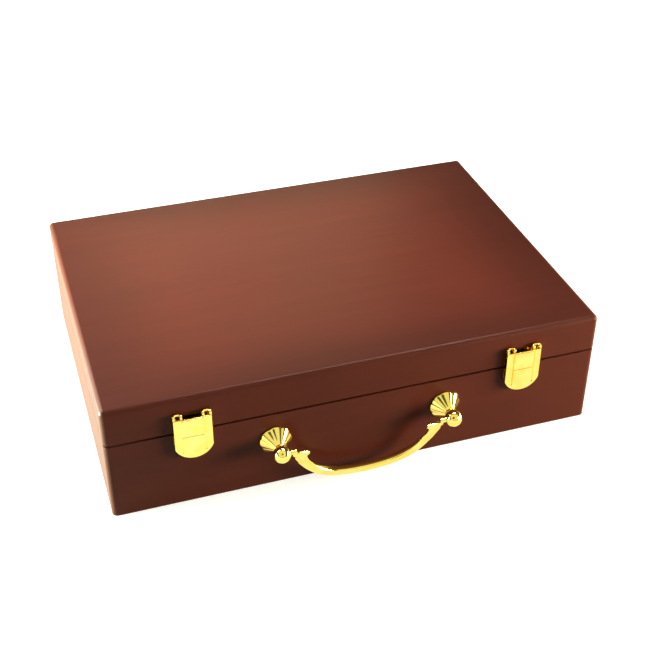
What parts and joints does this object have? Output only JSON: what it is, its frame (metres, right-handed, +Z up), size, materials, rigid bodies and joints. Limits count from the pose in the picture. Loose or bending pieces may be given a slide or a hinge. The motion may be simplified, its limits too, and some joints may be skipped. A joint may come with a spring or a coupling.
{
  "type": "poker chip case",
  "caption": "Shallow lacquered wooden case with a rear-hinged lid, front flap latches, a bail handle on ball posts, and troughs and wells inside for chips and cards.",
  "frame": {"origin": "centre of the base's underside, on the surface it stands on", "axes": "+X along the case's width, to the right seen from the front; -Y towards the front with the latches and the handle; +Z up through the lid"},
  "size_m": [0.305, 0.2416, 0.0772],
  "materials": {
    "mahogany": "satin-lacquered red-brown mahogany",
    "bottom_board": "stained board, matt",
    "velvet": "short-pile dark green velvet",
    "flocked_insert": "dark green flocking on board",
    "gold": "polished gold plating",
    "steel": "zinc-plated steel"
  },
  "bodies": {
    "base": {"base_shell": "mahogany", "base_bottom": "bottom_board", "base_lining": "velvet", "chip_tray_left": "flocked_insert", "chip_tray_right": "flocked_insert", "centre_insert": "flocked_insert", "hinge_left_base_leaf": "gold", "hinge_left_pin": "gold", "hinge_left_base_screw_1": "gold", "hinge_left_base_screw_2": "gold", "latch_left_catch": "gold", "latch_left_base_nail_1": "gold", "latch_left_base_nail_2": "gold", "handle_left_rosette": "gold", "handle_left_post": "gold", "handle_left_washer": "steel", "handle_left_nut": "steel", "hinge_right_base_leaf": "gold", "hinge_right_pin": "gold", "hinge_right_base_screw_1": "gold", "hinge_right_base_screw_2": "gold", "latch_right_catch": "gold", "latch_right_base_nail_1": "gold", "latch_right_base_nail_2": "gold", "handle_right_rosette": "gold", "handle_right_post": "gold", "handle_right_washer": "steel", "handle_right_nut": "steel"},
    "lid": {"lid_shell": "mahogany", "lid_lining": "velvet", "lid_liner": "velvet", "hinge_left_lid_leaf": "gold", "hinge_left_lid_screw_1": "gold", "hinge_left_lid_screw_2": "gold", "latch_left_lid_plate": "gold", "latch_left_pin_1": "gold", "latch_left_pin_2": "gold", "latch_left_lid_nail_1": "gold", "latch_left_lid_nail_2": "gold", "hinge_right_lid_leaf": "gold", "hinge_right_lid_screw_1": "gold", "hinge_right_lid_screw_2": "gold", "latch_right_lid_plate": "gold", "latch_right_pin_1": "gold", "latch_right_pin_2": "gold", "latch_right_lid_nail_1": "gold", "latch_right_lid_nail_2": "gold"},
    "latch_left": {"latch_left_flap": "gold"},
    "latch_right": {"latch_right_flap": "gold"},
    "bail": {"bail": "gold"}
  },
  "joints": [
    {"name": "lid_hinge", "type": "hinge", "parent": "base", "child": "lid", "pos_m": [0, 0.1113, 0.0527], "axis": [-1, 0, 0], "range_deg": [0, 95]},
    {"name": "latch_left_flap_hinge", "type": "hinge", "parent": "lid", "child": "latch_left", "pos_m": [-0.102, -0.1111, 0.0657], "axis": [-1, 0, 0], "range_deg": [0, 150]},
    {"name": "latch_right_flap_hinge", "type": "hinge", "parent": "lid", "child": "latch_right", "pos_m": [0.102, -0.1111, 0.0657], "axis": [-1, 0, 0], "range_deg": [0, 150]},
    {"name": "bail_swing", "type": "hinge", "parent": "base", "child": "bail", "pos_m": [0, -0.1229, 0.0332], "axis": [-1, 0, 0], "range_deg": [-8, 208]}
  ]
}
